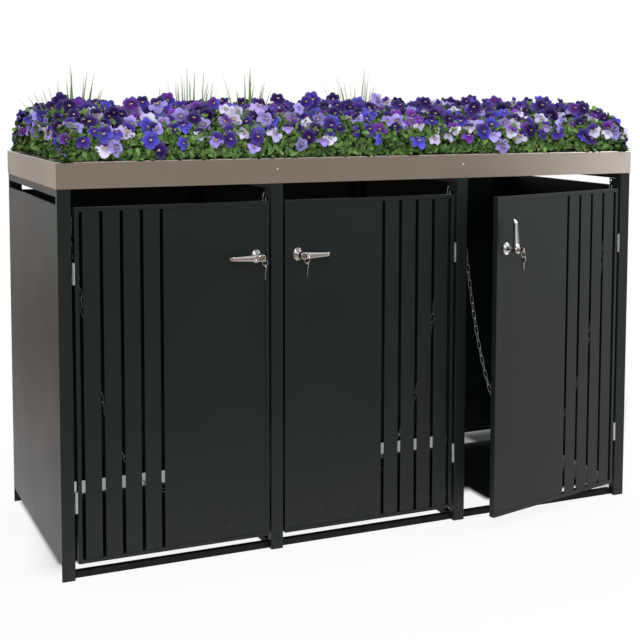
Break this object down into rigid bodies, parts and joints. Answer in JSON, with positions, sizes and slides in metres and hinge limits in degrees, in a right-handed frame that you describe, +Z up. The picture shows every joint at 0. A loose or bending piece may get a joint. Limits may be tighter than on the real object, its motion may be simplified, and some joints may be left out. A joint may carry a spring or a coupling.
{
  "type": "wheelie bin store",
  "caption": "Steel wheelie bin store with three bays, slotted hinged doors with lever locks and keys, chain swags in the bays and a planted stainless roof tray.",
  "frame": {"origin": "centre of the underside of the middle front sill, on the floor", "axes": "+X to the right as seen from the front, +Y to the back, +Z up; the front faces -Y"},
  "size_m": [2.068, 1.036, 1.54],
  "materials": {
    "anthracite_paint": "fine satin powder coat, dark anthracite grey",
    "black_paint": "matt black powder coat on the bars at the floor",
    "brushed_stainless": "brushed stainless sheet, grain along the length",
    "zinc_steel": "bright zinc-plated steel",
    "chrome": "polished chrome plate",
    "lock_brass": "worn brass face of the lock cylinder",
    "key_nickel": "nickel-plated, lightly worn",
    "compost": "dark loose compost",
    "leaves_and_flowers": "green leaves with purple, lavender and white pansy heads",
    "grass": "thin pale green blades"
  },
  "bodies": {
    "frame": {"left_side_panel": "anthracite_paint", "right_side_panel": "anthracite_paint", "mid_front_post_left": "anthracite_paint", "mid_front_post_right": "anthracite_paint", "mid_rear_post_left": "anthracite_paint", "mid_rear_post_right": "anthracite_paint", "front_sill_left": "black_paint", "front_sill_mid": "black_paint", "front_sill_right": "black_paint", "floor_rail_left": "black_paint", "floor_rail_right": "black_paint", "tray_rail_left": "anthracite_paint", "tray_rail_right": "anthracite_paint", "front_top_rails": "anthracite_paint", "rear_top_rails": "anthracite_paint", "rear_panel_left": "anthracite_paint", "rear_panel_mid": "anthracite_paint", "rear_panel_right": "anthracite_paint", "planter_tray": "brushed_stainless", "tray_rivets": "zinc_steel", "soil_bed": "compost", "planting": "leaves_and_flowers", "grass_tufts": "grass", "chain_brackets": "anthracite_paint", "hinge_pintles_left": "zinc_steel", "hinge_pintles_mid": "zinc_steel", "hinge_pintles_right": "zinc_steel", "chain_left": "zinc_steel", "chain_mid": "zinc_steel", "chain_right": "zinc_steel"},
    "door_left": {"door_frame_left": "anthracite_paint", "door_sheet_left": "anthracite_paint", "hinge_barrels_left": "zinc_steel", "escutcheon_left": "chrome"},
    "handle_left": {"handle_left": "chrome", "latch_cam_left": "zinc_steel"},
    "key_left": {"lock_cylinder_left": "lock_brass", "key_left": "key_nickel"},
    "ring_left": {"key_ring_left": "key_nickel"},
    "door_mid": {"door_frame_mid": "anthracite_paint", "door_sheet_mid": "anthracite_paint", "hinge_barrels_mid": "zinc_steel", "escutcheon_mid": "chrome"},
    "handle_mid": {"handle_mid": "chrome", "latch_cam_mid": "zinc_steel"},
    "key_mid": {"lock_cylinder_mid": "lock_brass", "key_mid": "key_nickel"},
    "ring_mid": {"key_ring_mid": "key_nickel"},
    "door_right": {"door_frame_right": "anthracite_paint", "door_sheet_right": "anthracite_paint", "hinge_barrels_right": "zinc_steel", "escutcheon_right": "chrome"},
    "handle_right": {"handle_right": "chrome", "latch_cam_right": "zinc_steel"},
    "key_right": {"lock_cylinder_right": "lock_brass", "key_right": "key_nickel"},
    "ring_right": {"key_ring_right": "key_nickel"}
  },
  "joints": [
    {"name": "door_left_swing", "type": "hinge", "parent": "frame", "child": "door_left", "pos_m": [-0.975, -0.03, 0.58], "axis": [0, 0, -1], "range_deg": [0, 110]},
    {"name": "door_mid_swing", "type": "hinge", "parent": "frame", "child": "door_mid", "pos_m": [0.30833, -0.03, 0.58], "axis": [0, 0, 1], "range_deg": [0, 110]},
    {"name": "door_right_swing", "type": "hinge", "parent": "frame", "child": "door_right", "pos_m": [0.975, -0.03, 0.58], "axis": [0, 0, 1], "range_deg": [-14, 96]},
    {"name": "handle_left_turn", "type": "hinge", "parent": "door_left", "child": "handle_left", "pos_m": [-0.40333, -0.03, 0.944], "axis": [0, 1, 0], "range_deg": [-90, 90]},
    {"name": "handle_mid_turn", "type": "hinge", "parent": "door_mid", "child": "handle_mid", "pos_m": [-0.26333, -0.03, 0.944], "axis": [0, -1, 0], "range_deg": [-90, 90]},
    {"name": "handle_right_turn", "type": "hinge", "parent": "door_right", "child": "handle_right", "pos_m": [0.42031, -0.1683, 0.944], "axis": [0.2419, -0.9703, 0], "range_deg": [-180, 0]},
    {"name": "key_left_turn", "type": "hinge", "parent": "handle_left", "child": "key_left", "pos_m": [-0.40333, -0.03, 0.944], "axis": [0, -1, 0], "range_deg": [0, 90]},
    {"name": "key_mid_turn", "type": "hinge", "parent": "handle_mid", "child": "key_mid", "pos_m": [-0.26333, -0.03, 0.944], "axis": [0, -1, 0], "range_deg": [-90, 0]},
    {"name": "key_right_turn", "type": "hinge", "parent": "handle_right", "child": "key_right", "pos_m": [0.42031, -0.1683, 0.944], "axis": [0.2419, -0.9703, 0], "range_deg": [0, 90]},
    {"name": "ring_left_swing", "type": "hinge", "parent": "key_left", "child": "ring_left", "pos_m": [-0.40333, -0.105, 0.944], "axis": [-1, 0, 0], "range_deg": [-20, 60]},
    {"name": "ring_mid_swing", "type": "hinge", "parent": "key_mid", "child": "ring_mid", "pos_m": [-0.26333, -0.105, 0.944], "axis": [-1, 0, 0], "range_deg": [-20, 60]},
    {"name": "ring_right_swing", "type": "hinge", "parent": "key_right", "child": "ring_right", "pos_m": [0.43846, -0.24107, 0.944], "axis": [-0.9703, -0.2419, 0], "range_deg": [-20, 60]}
  ]
}
